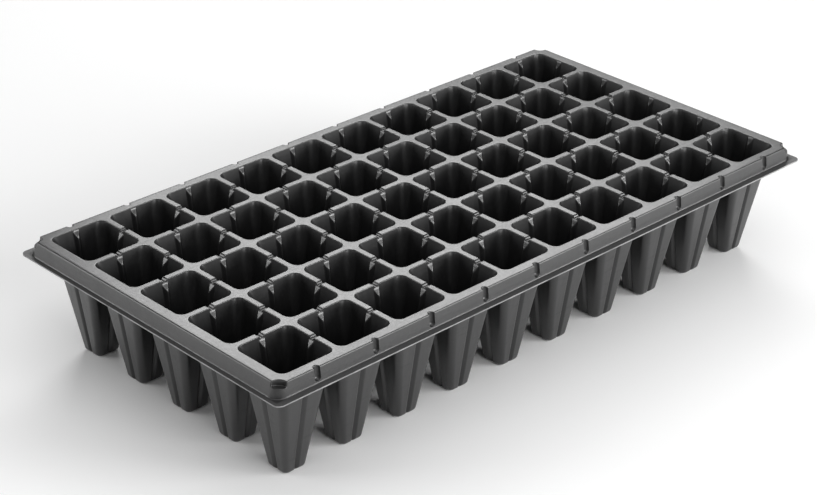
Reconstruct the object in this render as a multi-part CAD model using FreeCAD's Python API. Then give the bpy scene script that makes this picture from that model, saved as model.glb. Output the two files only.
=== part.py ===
import FreeCAD, Part
import math
import os

# Plug tray: one thin sheet of black plastic, formed into ten columns by five rows of tapered
# plug cells, with a stiffening rim all round. The sheet is modelled feature by feature, each
# formed feature as its own closed solid: every cell, the four rim sides and the four rim corners.
# Neighbours meet face to face on planes, as the one sheet runs on from one feature to the next.
# Frame: X along the long side, Y along the short side, Z up, origin on the ground at the centre.

Vector = FreeCAD.Vector

# ---------------------------------------------------------------- driving dimensions (mm)
PITCH = 51.4            # cell to cell, both ways
COLUMNS = 10            # cells along X
ROWS = 5                # cells along Y
HEIGHT = 90.0           # ground to the top of the deck

DECK_T = 1.0            # sheet thickness in the deck and rim
WALL_T = 0.5            # sheet thickness in the cell walls, drawn thinner
FLOOR_T = 0.8           # sheet thickness in the cell floors

# Cell cavity, a tapered square with rounded corners.
MOUTH_HALF = 22.7       # half width at deck level, before the lip is rounded
FOOT_HALF = 9.0         # half width at the ground
MOUTH_CORNER_R = 6.2
FOOT_CORNER_R = 3.4
LIP_R = 1.4             # rounding from the deck into the cavity
LIP_UNDER_R = 0.7       # the same rounding on the underside of the sheet
FOOT_EDGE_R = 2.9       # rounding from the cavity's walls into its floor
DRAIN_R = 5.0           # drain hole, through the floor

# Root-training rib in the middle of each cell wall: a V fold that points into the cavity.
RIB_HALF_TOP = 2.7      # half width where the fold leaves the wall
RIB_HALF_FOOT = 2.2
RIB_DEPTH_TOP = 2.6     # how far the nose stands into the cavity
RIB_DEPTH_FOOT = 1.8
RIB_NOSE_R = 0.95
RIB_SLOPE_H = 6.5       # height over which the top of the rib slopes out of the wall
RIB_START_BORDER = 1.8  # start of that slope below the deck, on walls next to the rim

# Saddle: a round-bottomed notch over the middle of each web between two cells.
SADDLE_R = 2.6

# Rim: deck edge, flared skirt and flat flange. Half sizes along X and Y.
DECK_EDGE = (263.8, 134.1)
SKIRT_FOOT = (266.6, 135.6)
FLANGE_EDGE = (270.0, 140.8)
FLANGE_DROP = 11.2      # deck top down to flange top
DECK_EDGE_CORNER_R = 6.0
SKIRT_FOOT_CORNER_R = 9.0
FLANGE_CORNER_R = 5.0
DECK_EDGE_R = 0.8       # rounding from deck to skirt
SKIRT_FOOT_R = 1.0      # rounding from skirt to flange

# Upright flute in the long skirts, one at every column: round, with a ball-shaped lower end.
FLUTE_R = 2.8
FLUTE_OUTSET = 0.3      # its axis stands this far outside the skirt
FLUTE_DROP = 10.0       # deck top down to its lower end
FLUTE_SHELL_T = 0.8

# Step in each rim corner: an upright round cut with a flat ledge.
STEP_R = 9.0
STEP_OUTSET = 0.8       # centre of the cut, outside the deck's square corner in X and in Y
STEP_DROP = 4.3         # deck top down to the ledge

CORNER_RUN = 11.0       # length of rim that each corner piece takes beside the grid's corner

# ---------------------------------------------------------------- values that follow
GRID_HALF = (PITCH * COLUMNS / 2, PITCH * ROWS / 2)
FLANGE_TOP = HEIGHT - FLANGE_DROP
FLANGE_BOTTOM = FLANGE_TOP - DECK_T
WALL_SLOPE = (MOUTH_HALF - FOOT_HALF) / HEIGHT
OVERCUT = 1.0           # how far a cutting solid runs past what it cuts
SIDE_ANGLES = {"right": 0, "back": 90, "left": 180, "front": 270}


def between(foot_value, top_value, z):
    """Value at height z of something that changes evenly from the ground to the deck."""
    return foot_value + (top_value - foot_value) * z / HEIGHT


def wall_at(z):
    """Half width of the cavity at height z."""
    return FOOT_HALF + WALL_SLOPE * z


def box(x0, x1, y0, y1, z0, z1):
    return Part.makeBox(x1 - x0, y1 - y0, z1 - z0, Vector(x0, y0, z0))


def rounded_rectangle(half_x, half_y, radius, z):
    """Closed wire in the plane at height z: four straight sides and four corner arcs."""
    edges = []
    corners = [(half_x, half_y), (-half_x, half_y), (-half_x, -half_y), (half_x, -half_y)]
    middles = []
    for index, (x, y) in enumerate(corners):
        centre = Vector(x - math.copysign(radius, x), y - math.copysign(radius, y), z)
        start = math.radians(90 * index)
        points = []
        for step in range(3):
            angle = start + math.radians(45 * step)
            points.append(centre + Vector(radius * math.cos(angle), radius * math.sin(angle), 0))
        middles.append(points)
    for index, points in enumerate(middles):
        following = middles[(index + 1) % 4]
        edges.append(Part.Arc(points[0], points[1], points[2]).toShape())
        edges.append(Part.makeLine(points[2], following[0]))
    return Part.Wire(edges)


def loft(lower, upper):
    return Part.makeLoft([lower, upper], True, True)


def edges_at(shape, z):
    """Edges of a shape that lie wholly in the plane at height z."""
    flat = []
    for edge in shape.Edges:
        bounds = edge.BoundBox
        if abs(bounds.ZMin - z) < 1e-4 and abs(bounds.ZMax - z) < 1e-4:
            flat.append(edge)
    return flat


def turned(shape, angle):
    copy = shape.copy()
    copy.rotate(Vector(0, 0, 0), Vector(0, 0, 1), angle)
    return copy


# ---------------------------------------------------------------- cell
def tapered_body(offset, z_low, z_high, edge_radius):
    """Tapered square body at a distance from the cavity's surface, its lower edges rounded."""
    low = rounded_rectangle(
        wall_at(z_low) + offset, wall_at(z_low) + offset, FOOT_CORNER_R + offset, z_low
    )
    high = rounded_rectangle(
        wall_at(z_high) + offset, wall_at(z_high) + offset, MOUTH_CORNER_R + offset, z_high
    )
    body = loft(low, high)
    return body.makeFillet(edge_radius, edges_at(body, z_low))


def fold_wire(wall, half_width, depth, nose_radius, z):
    """V fold in plan on the +X wall: a nose arc, two tangent flanks and a square back."""
    centre = depth - nose_radius
    reach = math.hypot(centre, half_width)
    tangent = math.sqrt(reach ** 2 - nose_radius ** 2)
    turn = math.asin(nose_radius / reach)
    heading = math.atan2(half_width, centre) - turn
    tip_depth = tangent * math.cos(heading)
    tip_half = half_width - tangent * math.sin(heading)
    back = wall + OVERCUT
    upper = Vector(wall - tip_depth, tip_half, z)
    lower = Vector(wall - tip_depth, -tip_half, z)
    path = [
        Vector(back, -half_width, z),
        Vector(back, half_width, z),
        Vector(wall, half_width, z),
        upper,
    ]
    edges = [Part.makeLine(a, b) for a, b in zip(path, path[1:])]
    edges.append(Part.Arc(upper, Vector(wall - depth, 0, z), lower).toShape())
    edges.append(Part.makeLine(lower, Vector(wall, -half_width, z)))
    edges.append(Part.makeLine(Vector(wall, -half_width, z), path[0]))
    return Part.Wire(edges)


def fold_solid(offset, start):
    """Fold on the +X wall, cut off above by the slope that starts at height start.

    offset is 0 for the surface in the cavity and WALL_T for the groove outside.
    """
    wires = []
    for z in (-OVERCUT, HEIGHT):
        depth = between(RIB_DEPTH_FOOT, RIB_DEPTH_TOP, z)
        half_width = between(RIB_HALF_FOOT, RIB_HALF_TOP, z)
        half_width -= offset * math.tan(math.atan2(depth, half_width) / 2)
        wires.append(fold_wire(wall_at(z) + offset, half_width, depth, RIB_NOSE_R - offset, z))
    column = loft(wires[0], wires[1])

    end = start - RIB_SLOPE_H
    run = wall_at(start) - (wall_at(end) - RIB_DEPTH_TOP)
    lean = run / RIB_SLOPE_H
    shift = offset * math.hypot(1, lean)
    top = start + OVERCUT
    inner = FOOT_HALF / 2
    face = [
        Vector(wall_at(start) + lean * (top - start) + shift, 0, top),
        Vector(inner, 0, start - (wall_at(start) + shift - inner) / lean),
        Vector(inner, 0, -OVERCUT),
        Vector(PITCH, 0, -OVERCUT),
        Vector(PITCH, 0, top),
    ]
    outline = Part.Face(Part.makePolygon(face + face[:1]))
    outline.translate(Vector(0, -PITCH / 2, 0))
    return column.common(outline.extrude(Vector(0, PITCH, 0)))


def saddle_cylinder(radius):
    """Round bar across the +X web, from the cavity to the middle of the web."""
    start = wall_at(HEIGHT) - 2 * OVERCUT
    return Part.makeCylinder(
        radius, PITCH / 2 - start, Vector(start, 0, HEIGHT), Vector(1, 0, 0)
    )


def make_cell(borders):
    """One cell with its square of deck. borders names the sides that meet the rim."""
    half = PITCH / 2
    grooves = []
    ribs = []
    saddles = []
    saddle_shells = []
    for side, angle in SIDE_ANGLES.items():
        start = HEIGHT - (RIB_START_BORDER if side in borders else SADDLE_R)
        grooves.append(turned(fold_solid(WALL_T, start), angle))
        ribs.append(turned(fold_solid(0, start), angle))
        if side not in borders:
            saddles.append(turned(saddle_cylinder(SADDLE_R), angle))
            bar = saddle_cylinder(SADDLE_R + WALL_T)
            lower_half = bar.common(box(0, half, -half, half, HEIGHT - half, HEIGHT))
            saddle_shells.append(turned(lower_half, angle))

    shell = tapered_body(WALL_T, 0, HEIGHT - DECK_T / 2, FOOT_EDGE_R + WALL_T)
    shell = shell.fuse(box(-half, half, -half, half, HEIGHT - DECK_T, HEIGHT))
    under_lip = inner_edges(shell, HEIGHT - DECK_T)
    shell = shell.makeFillet(LIP_UNDER_R, under_lip)
    shell = shell.cut(grooves)
    if saddle_shells:
        shell = shell.fuse(saddle_shells)
    cavity = tapered_body(0, FLOOR_T, HEIGHT, FOOT_EDGE_R).cut(ribs)
    cell = shell.cut(cavity).removeSplitter()
    cell = cell.makeFillet(LIP_R, inner_edges(cell, HEIGHT))
    drain = Part.makeCylinder(DRAIN_R, FLOOR_T + 2 * OVERCUT, Vector(0, 0, -OVERCUT))
    return cell.cut(saddles + [drain]).removeSplitter()


def inner_edges(shape, z):
    """Edges in the plane at height z, without the outline of the cell's square of deck."""
    return [edge for edge in edges_at(shape, z) if max_reach(edge) < PITCH / 2 - OVERCUT]


def max_reach(edge):
    bounds = edge.BoundBox
    return max(abs(bounds.XMin), abs(bounds.XMax), abs(bounds.YMin), abs(bounds.YMax))


def cell_centre(column, row):
    """Centre of a cell in plan; columns and rows count from 1 at the -X and -Y ends."""
    x = PITCH * (column - (COLUMNS + 1) / 2)
    y = PITCH * (row - (ROWS + 1) / 2)
    return x, y


def cell_borders(column, row):
    borders = set()
    if column == 1:
        borders.add("left")
    if column == COLUMNS:
        borders.add("right")
    if row == 1:
        borders.add("front")
    if row == ROWS:
        borders.add("back")
    return frozenset(borders)


# ---------------------------------------------------------------- rim
def skirt_body(inset, z_low, z_high):
    """Flared body of the rim, its sides a distance inside the skirt's outer surface."""
    wires = []
    for z in (z_low, z_high):
        fall = (HEIGHT - z) / FLANGE_DROP
        half_x = DECK_EDGE[0] + (SKIRT_FOOT[0] - DECK_EDGE[0]) * fall - inset
        half_y = DECK_EDGE[1] + (SKIRT_FOOT[1] - DECK_EDGE[1]) * fall - inset
        radius = DECK_EDGE_CORNER_R + (SKIRT_FOOT_CORNER_R - DECK_EDGE_CORNER_R) * fall - inset
        wires.append(rounded_rectangle(half_x, half_y, radius, z))
    return loft(wires[0], wires[1])


def step_cylinders(extra, drop):
    """Upright cuts at the four corners, from the ledge up."""
    cuts = []
    for sign_x in (-1, 1):
        for sign_y in (-1, 1):
            centre = Vector(
                sign_x * (DECK_EDGE[0] + STEP_OUTSET),
                sign_y * (DECK_EDGE[1] + STEP_OUTSET),
                HEIGHT - drop,
            )
            cuts.append(Part.makeCylinder(STEP_R + extra, drop + OVERCUT, centre))
    return cuts


def flute_bars(extra):
    """Bars with ball ends that lean with the long skirts, one at each column."""
    radius = FLUTE_R + extra
    lean = math.atan2(SKIRT_FOOT[1] - DECK_EDGE[1], FLANGE_DROP)
    bottom = HEIGHT - FLUTE_DROP + FLUTE_R
    fall = HEIGHT - bottom
    low = Vector(0, 0, -radius)
    side = Vector(radius, 0, 0)
    high = Vector(0, 0, fall + 2 * OVERCUT)
    middle = Vector(radius * math.sin(math.pi / 4), 0, -radius * math.cos(math.pi / 4))
    outline = [
        Part.Arc(low, middle, side).toShape(),
        Part.makeLine(side, side + high),
        Part.makeLine(side + high, high),
        Part.makeLine(high, low),
    ]
    bar = Part.Face(Part.Wire(outline)).revolve(Vector(0, 0, 0), Vector(0, 0, 1), 360)
    bar.rotate(Vector(0, 0, 0), Vector(1, 0, 0), math.degrees(lean))
    bar.translate(Vector(0, DECK_EDGE[1] + fall * math.tan(lean) + FLUTE_OUTSET, bottom))
    bars = []
    for column in range(1, COLUMNS + 1):
        x = cell_centre(column, 1)[0]
        back = bar.copy()
        back.translate(Vector(x, 0, 0))
        bars += [back, turned(back, 180)]
    return bars


def make_rim():
    """The whole rim as one solid, before it is parted into sides and corners."""
    outer = skirt_body(0, FLANGE_TOP, HEIGHT)
    outer = outer.makeFillet(DECK_EDGE_R, edges_at(outer, HEIGHT))
    flange_wire = rounded_rectangle(
        FLANGE_EDGE[0], FLANGE_EDGE[1], FLANGE_CORNER_R, FLANGE_BOTTOM
    )
    flange = Part.Face(flange_wire).extrude(Vector(0, 0, DECK_T))
    outer = outer.fuse(flange).removeSplitter()
    foot_edges = [edge for edge in edges_at(outer, FLANGE_TOP) if not on_flange_outline(edge)]
    outer = outer.makeFillet(SKIRT_FOOT_R, foot_edges)
    outer = outer.cut(step_cylinders(0, STEP_DROP)).cut(flute_bars(0))

    hollow = skirt_body(DECK_T, FLANGE_BOTTOM - OVERCUT, HEIGHT - DECK_T)
    hollow = hollow.cut(step_cylinders(DECK_T, STEP_DROP + DECK_T))
    hollow = hollow.cut(flute_bars(FLUTE_SHELL_T))
    grid = box(
        -GRID_HALF[0], GRID_HALF[0], -GRID_HALF[1], GRID_HALF[1],
        FLANGE_BOTTOM - OVERCUT, HEIGHT + OVERCUT,
    )
    return outer.cut(hollow).cut(grid)


def on_flange_outline(edge):
    bounds = edge.BoundBox
    at_end = max(abs(bounds.XMin), abs(bounds.XMax)) > FLANGE_EDGE[0] - OVERCUT
    at_side = max(abs(bounds.YMin), abs(bounds.YMax)) > FLANGE_EDGE[1] - OVERCUT
    return at_end or at_side


def rim_pieces():
    """Node name to the block of space that its stretch of rim lies in."""
    split_x = GRID_HALF[0] - CORNER_RUN
    split_y = GRID_HALF[1] - CORNER_RUN
    end_x = FLANGE_EDGE[0] + OVERCUT
    end_y = FLANGE_EDGE[1] + OVERCUT
    low = FLANGE_BOTTOM - OVERCUT
    high = HEIGHT + OVERCUT
    return {
        "rim_side_front": box(-split_x, split_x, -end_y, 0, low, high),
        "rim_side_back": box(-split_x, split_x, 0, end_y, low, high),
        "rim_side_left": box(-end_x, 0, -split_y, split_y, low, high),
        "rim_side_right": box(0, end_x, -split_y, split_y, low, high),
        "rim_corner_front_left": box(-end_x, -split_x, -end_y, -split_y, low, high),
        "rim_corner_front_right": box(split_x, end_x, -end_y, -split_y, low, high),
        "rim_corner_back_left": box(-end_x, -split_x, split_y, end_y, low, high),
        "rim_corner_back_right": box(split_x, end_x, split_y, end_y, low, high),
    }


# ---------------------------------------------------------------- output
def save(name, shape):
    solids = shape.Solids
    if len(solids) != 1 or not solids[0].isValid():
        raise RuntimeError(f"{name} is not one valid solid: {len(solids)} solids")
    solids[0].exportStep(f"parts/{name}.step")
    print(f"{name:24s} {solids[0].Volume / 1000:8.3f} cm3")


def main():
    os.makedirs("parts", exist_ok=True)
    kinds = {}
    for row in range(1, ROWS + 1):
        for column in range(1, COLUMNS + 1):
            borders = cell_borders(column, row)
            if borders not in kinds:
                kinds[borders] = make_cell(borders)
            cell = kinds[borders].copy()
            x, y = cell_centre(column, row)
            cell.translate(Vector(x, y, 0))
            save(f"cell_r{row}_c{column}", cell)
    rim = make_rim()
    for name, block in rim_pieces().items():
        save(name, rim.common(block))


main()
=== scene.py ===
import math

import bpy
import numpy as np
from mathutils import Matrix, Vector


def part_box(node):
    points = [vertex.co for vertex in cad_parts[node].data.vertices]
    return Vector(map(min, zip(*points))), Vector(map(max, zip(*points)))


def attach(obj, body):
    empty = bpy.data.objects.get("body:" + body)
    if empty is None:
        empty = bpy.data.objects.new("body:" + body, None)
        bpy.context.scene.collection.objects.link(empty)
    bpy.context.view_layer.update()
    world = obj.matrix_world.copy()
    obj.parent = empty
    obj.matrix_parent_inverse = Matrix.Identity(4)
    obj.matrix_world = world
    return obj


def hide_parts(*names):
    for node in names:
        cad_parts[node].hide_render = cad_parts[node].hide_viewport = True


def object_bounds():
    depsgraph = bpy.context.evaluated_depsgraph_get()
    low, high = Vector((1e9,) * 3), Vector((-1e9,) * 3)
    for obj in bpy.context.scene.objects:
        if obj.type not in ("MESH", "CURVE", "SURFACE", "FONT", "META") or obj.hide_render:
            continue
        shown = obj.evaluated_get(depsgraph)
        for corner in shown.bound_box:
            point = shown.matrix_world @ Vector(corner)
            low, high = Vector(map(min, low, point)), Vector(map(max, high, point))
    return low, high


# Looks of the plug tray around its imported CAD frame. The tray is one formed sheet, so every piece
# here is a sheet mesh: a grid of points on the upper surface, the same grid set back by the sheet's
# thickness below it, and the cut edges between the two. Working units are millimetres, scaled to
# metres when a mesh is made.

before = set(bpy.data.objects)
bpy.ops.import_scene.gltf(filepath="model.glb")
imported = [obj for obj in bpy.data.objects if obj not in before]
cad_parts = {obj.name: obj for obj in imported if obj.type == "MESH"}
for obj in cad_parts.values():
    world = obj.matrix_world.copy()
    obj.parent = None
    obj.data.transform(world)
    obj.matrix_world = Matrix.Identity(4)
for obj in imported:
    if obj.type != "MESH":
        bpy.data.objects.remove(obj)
cad_box = [list(corner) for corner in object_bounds()]

MM = 0.001
COLUMNS = 10
ROWS = 5


def node_box(node):
    """Lowest and highest corner of a CAD node in millimetres."""
    return [np.array(corner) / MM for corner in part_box(node)]


# ---------------------------------------------------------------- dimensions (mm)
TRAY_HIGH = np.array(cad_box[1]) / MM
HEIGHT = TRAY_HIGH[2]
FIRST_LOW, FIRST_HIGH = node_box("cell_r1_c1")
PITCH = FIRST_HIGH[0] - FIRST_LOW[0]
GRID_HALF = (PITCH * COLUMNS / 2, PITCH * ROWS / 2)
FLANGE_EDGE = (TRAY_HIGH[0], TRAY_HIGH[1])
DECK_T = 1.0                # sheet thickness in the deck and rim
WALL_T = 0.5
FLOOR_T = 0.8
FLANGE_DROP = HEIGHT - node_box("rim_side_front")[0][2] - DECK_T

MOUTH_HALF = 23.4           # half width of the cavity at deck level, before the lip is rounded
FOOT_HALF = 9.0
MOUTH_CORNER_R = 6.2
FOOT_CORNER_R = 3.4
WALL_SLOPE = (MOUTH_HALF - FOOT_HALF) / HEIGHT
WALL_ANGLE = math.atan(WALL_SLOPE)
LIP_R = 0.5                 # rounding from the deck into the cavity
CORNER_FLARE = 1.5          # extra corner radius under the lip, at its most
FLARE_DEPTH = 5.0           # and how far below the lip that is
FINE_DEPTH = 12.0           # rows are dense down to this far below the deck
FOOT_EDGE_R = 2.9           # rounding from the wall to the floor
FOOT_CORNER_R_LEAST = 0.6
DRAIN_R = 5.0

RIB_HALF = (2.3, 2.7)       # half width of the rib, at the foot and at the deck
RIB_DEPTH = (1.9, 2.6)      # how far it stands into the cavity, likewise
RIB_NOSE = 0.7              # roundness of its nose
RIB_ZONE = 1.6              # columns are dense over this many rib half widths
RIB_START = 2.7             # deck down to where the rib's top slopes out of the wall
RIB_START_BORDER = 1.5      # and the same on a side that meets the rim
RIB_SLOPE_H = 6.3           # height of that slope
RIB_EASE = 0.4              # softness of the rib's edges

SADDLE_TOP_HALF = 2.0       # the notch over a web: half width at the deck and at its floor
SADDLE_FLOOR_HALF = 0.9
SADDLE_DEPTH = 1.9
SADDLE_SETBACKS = (0.9, 0.85, 0.85, 0.9)

DECK_EDGE = (263.8, 134.1)  # half sizes in plan
SKIRT_FOOT = (266.6, 135.6)
DECK_EDGE_CORNER_R = 6.0
SKIRT_FOOT_CORNER_R = 9.0
FLANGE_CORNER_R = 5.0

DECK_EDGE_SETBACK = 0.9     # rounding from deck to skirt
FOOT_SETBACK = 0.9          # rounding from skirt to flange
FLUTE_R = 2.5               # half width of an upright flute in the skirt
FLUTE_OUTSET = 0.3          # its middle line stands this far outside the skirt
FLUTE_DROP = 10.0           # deck down to its round lower end
FLUTE_STRETCH = 1.2         # a flute is this much deeper than it is wide
FLUTE_LIP = 0.12            # softness of the flute's edges
FLUTE_ZONE = 3.6            # columns are dense this far to each side of a flute's middle
STEP_R = 8.0                # the round step cut into each corner of the deck
STEP_OUTSET = 0.8           # its centre stands this far outside the deck's corner
STEP_DROP = 4.3             # deck down to its ledge
STEP_EDGE_SETBACK = 0.6     # rounding from the step's wall to its ledge
LEDGE_SETBACK = 0.35        # rounding from the ledge to the skirt below
STEP_LEAD = 1.3             # stretch of deck edge rounded before and after the step
STEP_LEAD_SETBACK = 1.0
RECESS_EARLY = 0.3          # the recess starts this much before the lead's end
RECESS_RUN = 0.8            # and is full after this run
CORNER_RUN = 11.0           # how far a corner piece reaches along each side of the cell grid


# ---------------------------------------------------------------- sheet meshes
BEND_STEPS = 5              # steps round the corner of a profile
MOST_OF_LEG = 0.46          # a rounding takes up no more than this share of a leg
SHARP_ANGLE = math.radians(50)


def eased_path(points, setbacks, counts, bend_count):
    """Points along a polyline whose inner corners are rounded by quadratic curves.

    points is (corners, columns, dimensions), so a whole family of paths is made at once. Each
    rounding starts a setback before its corner, or less where the legs are short. counts gives the
    steps along each straight leg and bend_count the steps round each corner.
    """
    legs = points[1:] - points[:-1]
    lengths = np.maximum(np.linalg.norm(legs, axis=2, keepdims=True), 1e-9)
    headings = legs / lengths
    cuts = []
    for index, setback in enumerate(setbacks):
        shortest = np.minimum(lengths[index], lengths[index + 1])
        cuts.append(np.minimum(setback, MOST_OF_LEG * shortest))
    rows = [points[0]]
    for index, heading in enumerate(headings):
        last_leg = index == len(setbacks)
        start = rows[-1]
        end = points[index + 1] if last_leg else points[index + 1] - cuts[index] * heading
        for step in range(1, counts[index] + 1):
            rows.append(start + (end - start) * step / counts[index])
        if last_leg:
            break
        corner = points[index + 1]
        leave = corner + cuts[index] * headings[index + 1]
        for step in range(1, bend_count + 1):
            t = step / bend_count
            rows.append((1 - t) ** 2 * end + 2 * t * (1 - t) * corner + t ** 2 * leave)
    return np.stack(rows)


def grid_normals(grid, closed):
    """Unit normals of a grid of points, rows by columns, from the neighbours of each point."""
    along_rows = np.gradient(grid, axis=0)
    if closed:
        along_columns = np.roll(grid, -1, axis=1) - np.roll(grid, 1, axis=1)
    else:
        along_columns = np.gradient(grid, axis=1)
    normals = np.cross(along_columns, along_rows)
    return normals / np.maximum(np.linalg.norm(normals, axis=2, keepdims=True), 1e-12)


def grid_faces(rows, columns, closed, first):
    """Quads between neighbouring rows and columns, the first point having index first."""
    index = first + np.arange(rows * columns).reshape(rows, columns)
    if closed:
        index = np.hstack([index, index[:, :1]])
    corners = [index[:-1, :-1], index[:-1, 1:], index[1:, 1:], index[1:, :-1]]
    return np.stack([corner.ravel() for corner in corners], axis=1)


def strip_faces(top, bottom):
    """Quads of a cut edge, between a line of upper points and the line below it."""
    return np.stack([top[1:], top[:-1], bottom[:-1], bottom[1:]], axis=1)


def sheet_mesh(name, grid, thickness, closed, flat_ends=()):
    """Closed mesh of a formed sheet. thickness has one value for each row of the grid.

    flat_ends names the grid's edges whose cut has to stay upright in one plane, where the piece
    meets its neighbour: "first_row", "first_column" or "last_column".
    """
    normals = grid_normals(grid, closed)
    if "first_row" in flat_ends:
        across = np.abs(grid[0] - grid[1])[:, :2]
        facing = (across[:, :1] < across[:, 1:]).astype(float)
        keep = np.hstack([facing, 1 - facing, np.ones_like(facing)])
        normals[0] *= keep
    for end, column in (("first_column", 0), ("last_column", -1)):
        if end in flat_ends:
            step = grid[:, 1] - grid[:, 0] if column == 0 else grid[:, -1] - grid[:, -2]
            axis = int(np.argmax(np.abs(step[:, :2]).sum(axis=0)))
            normals[:, column, axis] = 0
    normals /= np.maximum(np.linalg.norm(normals, axis=2, keepdims=True), 1e-12)
    below = grid - normals * np.asarray(thickness)[:, None, None]

    rows, columns = grid.shape[:2]
    count = rows * columns
    top = np.arange(count).reshape(rows, columns)
    if closed:
        top = np.hstack([top, top[:, :1]])
    faces = [
        grid_faces(rows, columns, closed, 0),
        grid_faces(rows, columns, closed, count)[:, ::-1],
        strip_faces(top[0], top[0] + count),
        strip_faces(top[-1], top[-1] + count)[:, ::-1],
    ]
    if not closed:
        faces.append(strip_faces(top[:, 0], top[:, 0] + count)[:, ::-1])
        faces.append(strip_faces(top[:, -1], top[:, -1] + count))
    return build_mesh(name, np.concatenate([grid.reshape(-1, 3), below.reshape(-1, 3)]), faces)


def build_mesh(name, points, faces):
    """Mesh from groups of quads. The fourth group, the sheared edge, gets the second material."""
    quads = np.concatenate(faces)
    mesh = bpy.data.meshes.new(name)
    mesh.vertices.add(len(points))
    mesh.vertices.foreach_set("co", (points * MM).ravel())
    mesh.loops.add(quads.size)
    mesh.loops.foreach_set("vertex_index", quads.ravel())
    mesh.polygons.add(len(quads))
    mesh.polygons.foreach_set("loop_start", np.arange(0, quads.size, 4))
    mesh.polygons.foreach_set("use_smooth", np.ones(len(quads), dtype=bool))
    sheared = np.repeat([0, 0, 0, 1, 0, 0][: len(faces)], [len(group) for group in faces])
    mesh.polygons.foreach_set("material_index", sheared.astype(np.int32))
    mesh.update(calc_edges=True)
    mesh.validate()
    mesh.set_sharp_from_angle(angle=SHARP_ANGLE)
    return mesh


def add_piece(name, mesh, nodes, location=(0, 0, 0)):
    """Object of the tray's one body, standing in for the named CAD nodes."""
    piece = bpy.data.objects.new(name, mesh)
    piece.location = location
    bpy.context.scene.collection.objects.link(piece)
    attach(piece, "root")
    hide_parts(*nodes)
    return piece


# ---------------------------------------------------------------- cell
RIB_STEPS = 28              # columns over the rib and saddle of one side
PLAIN_STEPS = 5             # columns on each plain stretch beside it
CORNER_STEPS = 10           # columns round each corner
DECK_STEPS = 3              # rows over the deck, then down the lip and so on to the drain
LIP_STEPS = 8
FINE_STEPS = 24
WALL_STEPS = 8
FOOT_STEPS = 6
FLOOR_STEPS = 2
SADDLE_STEPS = (2, 1, 2, 1, 2)  # columns on each straight leg of the saddle notch


def wall_at(z):
    """Half width of the cavity between its plain walls at a height."""
    return FOOT_HALF + WALL_SLOPE * z


def between(foot_and_top, z):
    """A value that changes evenly from the tray's foot to its deck, at a height."""
    foot, top = foot_and_top
    return foot + (top - foot) * z / HEIGHT


def smooth_min(a, b, ease):
    """The lesser of two values, with a soft changeover."""
    blend = np.clip(0.5 + 0.5 * (b - a) / ease, 0, 1)
    return b + (a - b) * blend - ease * blend * (1 - blend)


def smooth_max(a, b, ease):
    """The greater of two values, with a soft changeover."""
    return -smooth_min(-a, -b, ease)


def saddle_profile():
    """Across one saddle notch: offset along the web and depth below the deck, column by column."""
    flat_end = RIB_ZONE * between(RIB_HALF, HEIGHT)
    outline = [
        (-flat_end, 0), (-SADDLE_TOP_HALF, 0), (-SADDLE_FLOOR_HALF, SADDLE_DEPTH),
        (SADDLE_FLOOR_HALF, SADDLE_DEPTH), (SADDLE_TOP_HALF, 0), (flat_end, 0),
    ]
    points = np.array(outline, dtype=float)[:, None, :]
    path = eased_path(points, SADDLE_SETBACKS, SADDLE_STEPS, BEND_STEPS)[:, 0]
    return path[:, 0], path[:, 1]


def rib_depth(offset, z, start):
    """How far the rib stands out of the wall at an offset from its middle and a height z."""
    depth = between(RIB_DEPTH, z)
    half = between(RIB_HALF, z)
    spread = np.sqrt(offset ** 2 + RIB_NOSE ** 2) - RIB_NOSE
    fold = depth * (1 - spread / (np.hypot(half, RIB_NOSE) - RIB_NOSE))
    slope = (start - z) * (RIB_DEPTH[1] + WALL_SLOPE * RIB_SLOPE_H) / RIB_SLOPE_H
    return smooth_max(smooth_min(fold, slope, 2 * RIB_EASE), np.zeros_like(fold), RIB_EASE)


def side_offsets(half, radius, zone_offsets):
    """Offsets along one side of a rounded square, dense in the rib's zone."""
    end = half - radius
    left = np.linspace(-end, zone_offsets[0], PLAIN_STEPS + 1)[:-1]
    right = np.linspace(zone_offsets[-1], end, PLAIN_STEPS + 1)[1:]
    return np.concatenate([left, zone_offsets, right])


def ring(half, radius, z, zone_offsets, inset, drop):
    """One closed row of a cell: sides and corners, counter-clockwise from the +X side.

    zone_offsets, inset and drop hold one array for each side: the offsets of the columns in the
    rib's zone, and how far each column of the side is moved inwards and down.
    """
    points = []
    angles = np.linspace(0, math.pi / 2, CORNER_STEPS + 1)[1:-1]
    for side in range(4):
        along = side_offsets(half, radius, zone_offsets[side])
        straight = np.stack([half - inset[side], along, z - drop[side]], axis=1)
        centre = half - radius
        bend = np.stack(
            [
                centre + radius * np.cos(angles),
                centre + radius * np.sin(angles),
                np.full_like(angles, z),
            ],
            axis=1,
        )
        points.append(turn(np.concatenate([straight, bend]), side))
    return np.concatenate(points)


def turn(points, quarters):
    """Points turned about Z by a number of quarter turns."""
    cosine, sine = ((1, 0), (0, 1), (-1, 0), (0, -1))[quarters]
    x = points[..., 0] * cosine - points[..., 1] * sine
    y = points[..., 0] * sine + points[..., 1] * cosine
    return np.stack([x, y, points[..., 2]], axis=-1)


def padded(values):
    """Values for the rib's zone of one side, with zeros for the plain columns beside it."""
    return np.pad(values, PLAIN_STEPS)


def to_square(points):
    """Points pushed straight out from a cell's mouth to the edge of its square of deck."""
    centre = MOUTH_HALF - MOUTH_CORNER_R
    core = np.clip(points[:, :2], -centre, centre)
    ray = points[:, :2] - core
    room = np.where(ray > 0, PITCH / 2 - core, -PITCH / 2 - core)
    with np.errstate(divide="ignore", invalid="ignore"):
        reach = np.where(np.abs(ray) > 1e-9, room / ray, np.inf)
    edge = core + ray * reach.min(axis=1, keepdims=True)
    return np.column_stack([edge, points[:, 2]])


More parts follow.
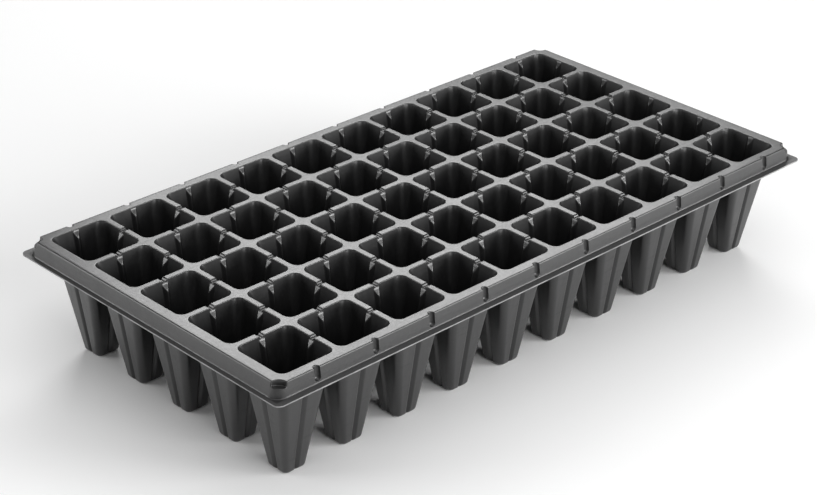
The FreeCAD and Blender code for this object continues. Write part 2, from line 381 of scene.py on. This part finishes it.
def cell_grid(borders):
    """Upper surface of a cell and the sheet's thickness row by row.

    borders holds, for the +X, +Y, -X and -Y sides, whether that side meets the rim.
    """
    uniform = np.linspace(-1, 1, RIB_STEPS + 1)
    saddle_offsets, saddle_depth = saddle_profile()
    flat_end = saddle_offsets[-1]
    deck_offsets = [uniform * flat_end if border else saddle_offsets for border in borders]
    sink = [saddle_depth * (not border) for border in borders]
    starts = [HEIGHT - (RIB_START_BORDER if border else RIB_START) for border in borders]

    rows = []
    thickness = []
    lip_end_angle = math.pi / 2 - WALL_ANGLE
    lip_end_z = HEIGHT - LIP_R * (1 - math.cos(lip_end_angle))
    flat_half = wall_at(lip_end_z) + LIP_R * math.sin(lip_end_angle)
    flat_radius = MOUTH_CORNER_R + flat_half - MOUTH_HALF
    sunk_in = [padded(WALL_SLOPE * depth) for depth in sink]
    drop = [padded(depth) for depth in sink]

    mouth = ring(flat_half, flat_radius, HEIGHT, deck_offsets, sunk_in, drop)
    border_row = to_square(mouth)
    for step in range(DECK_STEPS):
        rows.append(border_row + (mouth - border_row) * step / DECK_STEPS)
        thickness.append(DECK_T)
    for step in range(LIP_STEPS + 1):
        angle = lip_end_angle * step / LIP_STEPS
        inward = LIP_R * math.sin(angle)
        z = HEIGHT - LIP_R * (1 - math.cos(angle))
        rows.append(
            ring(flat_half - inward, flat_radius - inward, z, deck_offsets, sunk_in, drop)
        )
        thickness.append(DECK_T + (WALL_T - DECK_T) * step / LIP_STEPS)

    foot_start = FLOOR_T + FOOT_EDGE_R * (1 - math.sin(WALL_ANGLE))
    foot_centre = wall_at(foot_start) - FOOT_EDGE_R * math.cos(WALL_ANGLE)
    fine_end = HEIGHT - FINE_DEPTH
    levels = list(np.linspace(lip_end_z, fine_end, FINE_STEPS + 1)[1:])
    levels += list(np.linspace(fine_end, foot_start, WALL_STEPS + 1)[1:])
    for z in levels:
        fade = min(max((z - fine_end) / (lip_end_z - fine_end), 0), 1)
        zone_half = RIB_ZONE * between(RIB_HALF, z)
        offsets = [
            fade * on_deck + (1 - fade) * zone_half * uniform for on_deck in deck_offsets
        ]
        falls = [fade * depth for depth in sink]
        insets = []
        for side in range(4):
            local = z - falls[side]
            depth = rib_depth(offsets[side], local, starts[side])
            insets.append(padded(depth + WALL_SLOPE * falls[side]))
        fall = (lip_end_z - z) / FLARE_DEPTH
        flare = CORNER_FLARE * fall * math.exp(1 - fall)
        radius = between((FOOT_CORNER_R, MOUTH_CORNER_R), z) + flare
        rows.append(ring(wall_at(z), radius, z, offsets, insets, [padded(f) for f in falls]))
        thickness.append(WALL_T)

    no_drop = [padded(np.zeros(RIB_STEPS + 1))] * 4
    for step in range(1, FOOT_STEPS + 1):
        angle = WALL_ANGLE + (math.pi / 2 - WALL_ANGLE) * step / FOOT_STEPS
        z = FLOOR_T + FOOT_EDGE_R * (1 - math.sin(angle))
        half = foot_centre + FOOT_EDGE_R * math.cos(angle)
        round_in = wall_at(z) - half
        offsets = [RIB_ZONE * between(RIB_HALF, z) * uniform] * 4
        depth = rib_depth(offsets[0], z, starts[0])
        inset = padded(smooth_max(depth - round_in, np.zeros_like(depth), RIB_EASE))
        radius = between((FOOT_CORNER_R, MOUTH_CORNER_R), z) - round_in
        radius = max(radius, FOOT_CORNER_R_LEAST)
        rows.append(ring(half, radius, z, offsets, [inset] * 4, no_drop))
        thickness.append(WALL_T + (FLOOR_T - WALL_T) * step / FOOT_STEPS)

    floor_edge = rows[-1]
    bearing = np.arctan2(floor_edge[:, 1], floor_edge[:, 0])
    drain = np.column_stack(
        [DRAIN_R * np.cos(bearing), DRAIN_R * np.sin(bearing), np.full_like(bearing, FLOOR_T)]
    )
    for step in range(1, FLOOR_STEPS + 1):
        rows.append(floor_edge + (drain - floor_edge) * step / FLOOR_STEPS)
        thickness.append(FLOOR_T)
    return np.stack(rows), thickness


def add_cells():
    """One piece for every cell. Cells with the same sides on the rim share a mesh."""
    meshes = {}
    pieces = []
    for row in range(1, ROWS + 1):
        for column in range(1, COLUMNS + 1):
            borders = (column == COLUMNS, row == ROWS, column == 1, row == 1)
            if borders not in meshes:
                grid, thickness = cell_grid(borders)
                meshes[borders] = sheet_mesh("cell", grid, thickness, True, ("first_row",))
            node = f"cell_r{row}_c{column}"
            low, high = node_box(node)
            centre = (low + high) / 2 * MM
            pieces.append(
                add_piece("sheet_" + node, meshes[borders], [node], (centre[0], centre[1], 0))
            )
    return pieces


# ---------------------------------------------------------------- rim
BORDER_STEPS = 4            # rows over the deck's border
FLANGE_STEPS = 3            # rows over the flange
FLUTED_SKIRT_STEPS = 44
PLAIN_SKIRT_STEPS = 8
FLUTE_STEPS = 24            # columns over a flute
FLUTE_CROWDING = 0.35       # how far they are crowded towards its edges
FLUTE_FALLOFF = 2           # steepness with which its hollow ends outside its edges
FIRST_GAP_STEPS = 3         # columns from the piece's end to the first flute
GAP_STEPS = 7               # columns between two flutes
SHORT_SIDE_STEPS = 32
ARC_STEPS = 24              # columns round a corner of the rim
STEP_ARC_STEPS = 26         # columns round its step
STEP_ARC_TRIM = 2           # of those, replaced by the lead at each end
STEP_LEAD_STEPS = (2, 2)
STEP_LEAD_BEND_STEPS = 6
STEP_PROFILE_STEPS = (3, 2, 3)  # rows down its wall, over its ledge and down the skirt
LEG_STEPS = 4               # columns on each straight leg of a corner piece


def skirt_offset(fall, axis):
    """How far the skirt stands out from the deck's edge at a distance below the deck."""
    return (SKIRT_FOOT[axis] - DECK_EDGE[axis]) * fall / FLANGE_DROP


def at_height(plan, fall):
    """Plan points lifted to a distance below the deck; fall is one value or one for each."""
    return np.column_stack([plan, np.broadcast_to(HEIGHT - fall, len(plan))])


def stepped_rim_grid(inner, upper, skirt, foot, flange, fall, recess):
    """Upper surface of a stretch of rim with a ledge part of the way down.

    The five plan lines run along the rim: grid boundary, upper edge of the deck, skirt at the
    ledge, skirt foot and flange edge. fall is the ledge's depth below the deck and recess is 1
    where there is one and 0 where the skirt runs straight down.
    """
    recess = recess[:, None]
    deck_edge = at_height(upper, 0)
    ledge_out = at_height(skirt, fall)
    ledge_in = at_height(upper, fall)
    middle = (deck_edge + ledge_out) / 2
    corners = np.stack(
        [
            at_height(inner, 0),
            deck_edge,
            middle + (ledge_in - middle) * recess,
            ledge_out,
            at_height(foot, FLANGE_DROP),
            at_height(flange, FLANGE_DROP),
        ]
    )
    setbacks = (DECK_EDGE_SETBACK, STEP_EDGE_SETBACK, LEDGE_SETBACK, FOOT_SETBACK)
    counts = (BORDER_STEPS, *STEP_PROFILE_STEPS, FLANGE_STEPS)
    return eased_path(corners, setbacks, counts, BEND_STEPS)


def plain_rim_grid(inner, deck_edge, skirt_foot, flange_edge, skirt_steps):
    """Upper surface of a straight stretch of rim. The four plan lines run along it."""
    corners = np.stack(
        [
            at_height(inner, 0),
            at_height(deck_edge, 0),
            at_height(skirt_foot, FLANGE_DROP),
            at_height(flange_edge, FLANGE_DROP),
        ]
    )
    setbacks = (DECK_EDGE_SETBACK, FOOT_SETBACK)
    return eased_path(corners, setbacks, (BORDER_STEPS, skirt_steps, FLANGE_STEPS), BEND_STEPS)


def flute_depth(offset, fall):
    """Depth of a flute behind the skirt, at an offset from its middle and below the deck."""
    past_ball = np.maximum(fall - (FLUTE_DROP - FLUTE_R), 0)
    squared = FLUTE_R ** 2 - offset ** 2 - past_ball ** 2
    over = np.hypot(offset, past_ball) - FLUTE_R
    hollow = FLUTE_STRETCH * np.sqrt(np.maximum(squared, 0))
    depth = np.where(squared > 0, hollow, -FLUTE_FALLOFF * over) - FLUTE_OUTSET
    return smooth_max(depth, np.zeros_like(depth), FLUTE_LIP)


def long_side_grid():
    """The rim along +Y, between the corner pieces, with a flute at every column of cells."""
    end = GRID_HALF[0] - CORNER_RUN
    count = FLUTE_STEPS + 1
    crowded = np.sin(np.linspace(-math.pi / 2, math.pi / 2, count)) * FLUTE_CROWDING
    across = FLUTE_ZONE * (crowded + (1 - FLUTE_CROWDING) * np.linspace(-1, 1, count))
    centres = PITCH * (np.arange(COLUMNS) - (COLUMNS - 1) / 2)
    along = [np.linspace(-end, centres[0] - FLUTE_ZONE, FIRST_GAP_STEPS + 1)[:-1]]
    for centre in centres:
        following = end if centre == centres[-1] else centre + PITCH - FLUTE_ZONE
        along.append(centre + across)
        along.append(np.linspace(centre + FLUTE_ZONE, following, GAP_STEPS + 1)[1:-1])
    along = np.append(np.concatenate(along), end)

    def line(y):
        return np.column_stack([along, np.full_like(along, y)])

    lines = [line(half[1]) for half in (GRID_HALF, DECK_EDGE, SKIRT_FOOT, FLANGE_EDGE)]
    grid = plain_rim_grid(*lines, FLUTED_SKIRT_STEPS)
    offset = np.abs(along[:, None] - centres).min(axis=1)
    fall = HEIGHT - grid[:, :, 2]
    deck_share = (grid[:, :, 1] - GRID_HALF[1]) / (DECK_EDGE[1] - DECK_EDGE_SETBACK - GRID_HALF[1])
    grid[:, :, 1] -= flute_depth(offset, fall) * np.clip(deck_share, 0, 1)
    return grid


def short_side_grid():
    """The rim along +X, between the corner pieces, plain from end to end."""
    end = GRID_HALF[1] - CORNER_RUN
    along = np.linspace(end, -end, SHORT_SIDE_STEPS + 1)

    def line(x):
        return np.column_stack([np.full_like(along, x), along])

    lines = [line(half[0]) for half in (GRID_HALF, DECK_EDGE, SKIRT_FOOT, FLANGE_EDGE)]
    return plain_rim_grid(*lines, PLAIN_SKIRT_STEPS)


def resampled(path, count):
    """A plan path divided into equal steps by its length."""
    steps = np.linalg.norm(np.diff(path, axis=0), axis=1)
    travelled = np.concatenate([[0], np.cumsum(steps)])
    wanted = np.linspace(0, travelled[-1], count)
    return np.column_stack([np.interp(wanted, travelled, path[:, k]) for k in range(2)])


def corner_arc(half, radius):
    """The +X +Y corner of a rounded rectangle, from its +Y side round to its +X side."""
    angles = np.linspace(math.pi / 2, 0, ARC_STEPS + 1)
    centre = np.array(half) - radius
    return centre + radius * np.column_stack([np.cos(angles), np.sin(angles)])


def corner_grid():
    """The rim's +X +Y corner with its step, from the long side round to the short side."""
    step_centre = np.array(DECK_EDGE) + STEP_OUTSET
    reach = math.sqrt(STEP_R ** 2 - STEP_OUTSET ** 2)
    cut_x = step_centre[0] - reach
    cut_y = step_centre[1] - reach
    first = math.atan2(DECK_EDGE[1] - step_centre[1], cut_x - step_centre[0])
    last = math.atan2(cut_y - step_centre[1], DECK_EDGE[0] - step_centre[0])
    angles = np.linspace(first % (2 * math.pi), last % (2 * math.pi), STEP_ARC_STEPS + 1)
    arc = step_centre + STEP_R * np.column_stack([np.cos(angles), np.sin(angles)])

    run_x = GRID_HALF[0] - CORNER_RUN
    run_y = GRID_HALF[1] - CORNER_RUN
    start_x = cut_x - STEP_LEAD
    end_y = cut_y - STEP_LEAD
    trimmed_arc = arc[STEP_ARC_TRIM:-STEP_ARC_TRIM]
    entry_points = np.array([(start_x, DECK_EDGE[1]), arc[0], trimmed_arc[0]])
    exit_points = np.array([trimmed_arc[-1], arc[-1], (DECK_EDGE[0], end_y)])
    entry, leave = (
        eased_path(
            points[:, None, :], (STEP_LEAD_SETBACK,), STEP_LEAD_STEPS, STEP_LEAD_BEND_STEPS
        )[:, 0]
        for points in (entry_points, exit_points)
    )
    zone = np.concatenate([entry, trimmed_arc[1:-1], leave])
    count = len(zone)
    leg_x = np.linspace(run_x, start_x, LEG_STEPS + 1)[:-1]
    leg_y = np.linspace(end_y, run_y, LEG_STEPS + 1)[1:]

    def line(half, radius, zone_path=None):
        if zone_path is None:
            path = np.concatenate(
                [[(start_x, half[1])], corner_arc(half, radius), [(half[0], end_y)]]
            )
            zone_path = resampled(path, count)
        before = np.column_stack([leg_x, np.full(LEG_STEPS, half[1])])
        after = np.column_stack([np.full(LEG_STEPS, half[0]), leg_y])
        return np.concatenate([before, zone_path, after])

    depth_in = np.minimum(
        np.linalg.norm(zone - zone[0], axis=1), np.linalg.norm(zone - zone[-1], axis=1)
    )
    in_step = np.clip((depth_in - STEP_LEAD + RECESS_EARLY) / RECESS_RUN, 0, 1)
    recess = np.concatenate([np.zeros(LEG_STEPS), in_step, np.zeros(LEG_STEPS)])
    ledge_half = [DECK_EDGE[axis] + skirt_offset(STEP_DROP, axis) for axis in (0, 1)]
    corner_r_growth = SKIRT_FOOT_CORNER_R - DECK_EDGE_CORNER_R
    ledge_radius = DECK_EDGE_CORNER_R + corner_r_growth * STEP_DROP / FLANGE_DROP
    grid_legs = np.array([(start_x, GRID_HALF[1]), GRID_HALF, (GRID_HALF[0], end_y)])
    grid_corner = resampled(grid_legs, count)
    middle = np.argmin(np.linalg.norm(grid_corner - np.array(GRID_HALF), axis=1))
    grid_corner[middle] = GRID_HALF
    return stepped_rim_grid(
        line(GRID_HALF, 0, grid_corner),
        line(DECK_EDGE, 0, zone),
        line(ledge_half, ledge_radius),
        line(SKIRT_FOOT, SKIRT_FOOT_CORNER_R),
        line(FLANGE_EDGE, FLANGE_CORNER_R),
        STEP_DROP,
        recess,
    )


def mirrored(grid, sign_x, sign_y):
    """A grid mirrored in plan, its columns reversed if that is needed to keep its upper side up."""
    copy = grid * np.array([sign_x, sign_y, 1])
    return copy[:, ::-1] if sign_x * sign_y < 0 else copy


def add_rim():
    """One piece for each side and corner of the rim."""
    ends = ("first_row", "first_column", "last_column")
    pieces = []
    stretches = {
        "rim_side_back": (long_side_grid(), 1, 1),
        "rim_side_front": (long_side_grid(), 1, -1),
        "rim_side_right": (short_side_grid(), 1, 1),
        "rim_side_left": (short_side_grid(), -1, 1),
    }
    for sign_x, word_x in ((-1, "left"), (1, "right")):
        for sign_y, word_y in ((-1, "front"), (1, "back")):
            stretches[f"rim_corner_{word_y}_{word_x}"] = (corner_grid(), sign_x, sign_y)
    for node, (grid, sign_x, sign_y) in stretches.items():
        surface = mirrored(grid, sign_x, sign_y)
        mesh = sheet_mesh(node, surface, [DECK_T] * len(surface), False, ends)
        pieces.append(add_piece("sheet_" + node, mesh, [node]))
    return pieces


# ---------------------------------------------------------------- material
class Graph:
    """Short names for adding and joining the nodes of one material."""

    def __init__(self, name):
        self.material = bpy.data.materials.new(name)
        self.material.use_nodes = True
        self.nodes = self.material.node_tree.nodes
        self.links = self.material.node_tree.links
        self.shader = self.nodes["Principled BSDF"]
        self.position = self.nodes.new("ShaderNodeNewGeometry").outputs["Position"]

    def join(self, output, socket):
        """Link an output to an input."""
        self.links.new(output, socket)

    def noise(self, size_mm, detail=3.0, stretch=(1, 1, 1), roughness=0.5):
        """Noise whose blobs are about size_mm across, drawn out along the stretched axes."""
        mapping = self.nodes.new("ShaderNodeMapping")
        mapping.inputs["Scale"].default_value = [1 / (size_mm * MM * part) for part in stretch]
        self.join(self.position, mapping.inputs["Vector"])
        noise = self.nodes.new("ShaderNodeTexNoise")
        noise.inputs["Scale"].default_value = 1.0
        noise.inputs["Detail"].default_value = detail
        noise.inputs["Roughness"].default_value = roughness
        self.join(mapping.outputs["Vector"], noise.inputs["Vector"])
        return noise.outputs["Fac"]

    def ramp(self, value, low, high, out_low, out_high):
        """Value between low and high spread over another range, and held at its ends."""
        node = self.nodes.new("ShaderNodeMapRange")
        for socket, number in zip(node.inputs[1:5], (low, high, out_low, out_high)):
            socket.default_value = number
        self.join(value, node.inputs["Value"])
        return node.outputs["Result"]

    def math(self, operation, first, second):
        """Result of a math node. Each operand is an output or a float."""
        node = self.nodes.new("ShaderNodeMath")
        node.operation = operation
        for socket, value in zip(node.inputs, (first, second)):
            if isinstance(value, float):
                socket.default_value = value
            else:
                self.join(value, socket)
        return node.outputs["Value"]

    def beyond(self, half, soft_mm):
        """0 over a rectangle in plan, given by its half sizes, rising to 1 outside it."""
        axes = self.nodes.new("ShaderNodeSeparateXYZ")
        self.join(self.position, axes.inputs[0])
        over = [
            self.math("SUBTRACT", self.math("ABSOLUTE", axes.outputs[k], 0.0), half[k] * MM)
            for k in (0, 1)
        ]
        return self.ramp(self.math("MAXIMUM", *over), 0.0, soft_mm * MM, 0.0, 1.0)

    def blend(self, factor, first, second):
        """Mix of two colours, each an output or a tuple."""
        node = self.nodes.new("ShaderNodeMix")
        node.data_type = "RGBA"
        self.join(factor, node.inputs["Factor"])
        for socket, colour in ((node.inputs["A"], first), (node.inputs["B"], second)):
            if isinstance(colour, tuple):
                socket.default_value = (*colour, 1)
            else:
                self.join(colour, socket)
        return node.outputs["Result"]

    def bump(self, height, strength, distance_mm, below=None):
        """Normal of a bump, laid over the normal below if there is one."""
        node = self.nodes.new("ShaderNodeBump")
        node.inputs["Strength"].default_value = strength
        node.inputs["Distance"].default_value = distance_mm * MM
        self.join(height, node.inputs["Height"])
        if below is not None:
            self.join(below, node.inputs["Normal"])
        return node.outputs["Normal"]


def moulded_black():
    """Satin black polystyrene, formed hot: fine grain, draw streaks, faint dust and scuffs.

    The skirt is dragged into fine level lines; the clamped flange round it is dull, and its paler
    colour is painted reflection of the lit skirt.
    """
    graph = Graph("black_polystyrene")
    cloud = graph.noise(60.0, 2.0)
    streak = graph.noise(2.4, 3.0, (1, 1, 14))
    grain = graph.noise(0.35, 2.0)
    speck = graph.noise(1.6, 4.0, roughness=0.7)
    scratch = graph.noise(1.1, 2.0, (18, 1.5, 3))

    dust = graph.math("MULTIPLY", graph.ramp(speck, 0.60, 0.74, 0.0, 1.0), cloud)
    skirt = graph.beyond(DECK_EDGE, 0.8)
    # flange masks a paler colour that is painted reflection, standing in for the lit skirt mirrored
    # in the flange
    flange = graph.beyond(SKIRT_FOOT, 1.2)
    drag = graph.noise(0.45, 2.0, (45, 45, 1))

    body = graph.blend(cloud, (0.0042, 0.0042, 0.0045), (0.0068, 0.0068, 0.0071))
    # Painted reflection: the flange gets a paler mottled colour in place of the lit skirt it would
    # mirror.
    body = graph.blend(flange, body, graph.blend(speck, (0.020, 0.020, 0.021), (0.060,) * 3))
    colour = graph.blend(dust, body, (0.040, 0.039, 0.037))
    graph.join(colour, graph.shader.inputs["Base Color"])

    rough = graph.ramp(streak, 0.30, 0.70, 0.38, 0.45)
    rough = graph.math("ADD", rough, graph.ramp(cloud, 0.35, 0.65, -0.02, 0.04))
    rough = graph.math("ADD", rough, graph.ramp(scratch, 0.58, 0.70, 0.0, 0.07))
    rough = graph.math("ADD", rough, graph.math("MULTIPLY", dust, 0.15))
    dragged = graph.math("MULTIPLY", skirt, graph.ramp(drag, 0.30, 0.70, 0.00, 0.12))
    rough = graph.math("ADD", rough, dragged)
    graph.join(rough, graph.shader.inputs["Roughness"])

    waves = graph.bump(graph.noise(9.0, 2.0, (1, 1, 3)), 0.35, 0.35)
    drawn = graph.bump(streak, 0.22, 0.06, waves)
    drawn = graph.bump(graph.math("MULTIPLY", skirt, drag), 0.80, 0.12, drawn)
    graph.join(graph.bump(grain, 0.22, 0.02, drawn), graph.shader.inputs["Normal"])
    graph.shader.inputs["IOR"].default_value = 1.55
    graph.shader.inputs["Coat Weight"].default_value = 0.5
    graph.shader.inputs["Coat Roughness"].default_value = 0.22
    return graph.material


def trimmed_edge():
    """The sheared edges of the flange and the drain holes: the same plastic, paler and duller."""
    graph = Graph("trimmed_edge")
    tear = graph.noise(0.5, 3.0, (3, 3, 0.6), 0.6)
    patch = graph.noise(14.0, 2.0)
    colour = graph.blend(
        graph.ramp(graph.math("ADD", tear, patch), 0.75, 1.25, 0.0, 1.0),
        (0.130, 0.130, 0.133),
        (0.330, 0.330, 0.330),
    )
    graph.join(colour, graph.shader.inputs["Base Color"])
    graph.join(graph.ramp(tear, 0.3, 0.7, 0.45, 0.65), graph.shader.inputs["Roughness"])
    graph.join(graph.bump(tear, 0.5, 0.06), graph.shader.inputs["Normal"])
    return graph.material


# ---------------------------------------------------------------- camera, floor and light
CAMERA_AZIMUTH = math.radians(-44.2)
CAMERA_ELEVATION = math.radians(27.96)
CAMERA_ROLL = math.radians(0.84)
CAMERA_DISTANCE = 1.5213
CAMERA_AIM = Vector((-0.0746, -0.0555, HEIGHT * MM))
CAMERA_LENS = 94.58         # mm, on a sensor this many mm wide
CAMERA_SENSOR = 36
FLOOR_HALF = 6.0            # metres, as all lengths in this part of the script
LIGHT_TARGET = Vector((0, 0, 0.05))
WORLD_STRENGTH = 0.10


def add_camera():
    """The photograph's camera: a bearing, elevation and roll about a point on the deck."""
    back = Vector(
        (
            math.sin(CAMERA_AZIMUTH) * math.cos(CAMERA_ELEVATION),
            -math.cos(CAMERA_AZIMUTH) * math.cos(CAMERA_ELEVATION),
            math.sin(CAMERA_ELEVATION),
        )
    )
    level = Vector((math.cos(CAMERA_AZIMUTH), math.sin(CAMERA_AZIMUTH), 0))
    upright = back.cross(level)
    right = level * math.cos(CAMERA_ROLL) + upright * math.sin(CAMERA_ROLL)
    up = upright * math.cos(CAMERA_ROLL) - level * math.sin(CAMERA_ROLL)
    data = bpy.data.cameras.new("camera")
    data.lens = CAMERA_LENS
    data.sensor_width = CAMERA_SENSOR
    data.clip_end = 50
    camera = bpy.data.objects.new("camera", data)
    turn_matrix = Matrix((right, up, back)).transposed().to_4x4()
    camera.matrix_world = Matrix.Translation(CAMERA_AIM + back * CAMERA_DISTANCE) @ turn_matrix
    bpy.context.scene.collection.objects.link(camera)
    bpy.context.scene.camera = camera


def add_floor():
    """A plain pale floor."""
    mesh = bpy.data.meshes.new("floor")
    signs = ((-1, -1), (1, -1), (1, 1), (-1, 1))
    corners = [(x * FLOOR_HALF, y * FLOOR_HALF, 0) for x, y in signs]
    mesh.from_pydata(corners, [], [(0, 1, 2, 3)])
    floor = bpy.data.objects.new("floor", mesh)
    bpy.context.scene.collection.objects.link(floor)
    material = bpy.data.materials.new("pale_floor")
    material.use_nodes = True
    shader = material.node_tree.nodes["Principled BSDF"]
    shader.inputs["Base Color"].default_value = (0.90, 0.90, 0.90, 1)
    shader.inputs["Roughness"].default_value = 0.7
    floor.data.materials.append(material)


def add_area(name, location, target, size, power):
    """A rectangular softbox turned to face a target."""
    data = bpy.data.lights.new(name, "AREA")
    data.shape = "RECTANGLE"
    data.size, data.size_y = size
    data.energy = power
    lamp = bpy.data.objects.new(name, data)
    aim = Vector(target) - Vector(location)
    lamp.location = location
    lamp.rotation_euler = aim.to_track_quat("-Z", "Y").to_euler()
    bpy.context.scene.collection.objects.link(lamp)


# Softboxes round the tray: name, bearing in plan, elevation in degrees, distance, size and power.
SOFTBOXES = (
    ("softbox_back", (0.70, 0.71), 36, 2.4, (1.25, 0.9), 22.5),
    ("softbox_right", (0.58, -0.81), 14, 2.4, (1.2, 0.9), 46.0),
    ("softbox_front", (-0.10, -1.00), 25, 2.4, (1.4, 1.2), 22.0),
    ("softbox_camera", (-0.60, -0.65), 50, 2.4, (1.4, 1.2), 4.0),
    ("softbox_left", (-0.75, 0.63), 14, 2.4, (1.2, 0.9), 21.0),
    ("softbox_near_left", (-1.00, -0.25), 30, 2.4, (1.4, 1.2), 5.0),
    ("softbox_top", (0.01, 0.00), 89, 2.3, (3.0, 3.0), 27.0),
)


def add_lights():
    """The softboxes, and a weak even fill from the world."""
    world = bpy.data.worlds.new("studio")
    world.use_nodes = True
    background = world.node_tree.nodes["Background"]
    background.inputs["Color"].default_value = (1, 1, 1, 1)
    background.inputs["Strength"].default_value = WORLD_STRENGTH
    bpy.context.scene.world = world
    for name, bearing, elevation, distance, size, power in SOFTBOXES:
        level = Vector((bearing[0], bearing[1], 0)).normalized()
        lift = math.radians(elevation)
        out = level * math.cos(lift) + Vector((0, 0, math.sin(lift)))
        add_area(name, LIGHT_TARGET + out * distance, LIGHT_TARGET, size, power)
    bpy.context.scene.view_settings.view_transform = "Standard"


add_camera()
add_floor()
add_lights()
sheet_materials = (moulded_black(), trimmed_edge())
for piece in add_cells() + add_rim():
    if not piece.data.materials:
        for material in sheet_materials:
            piece.data.materials.append(material)
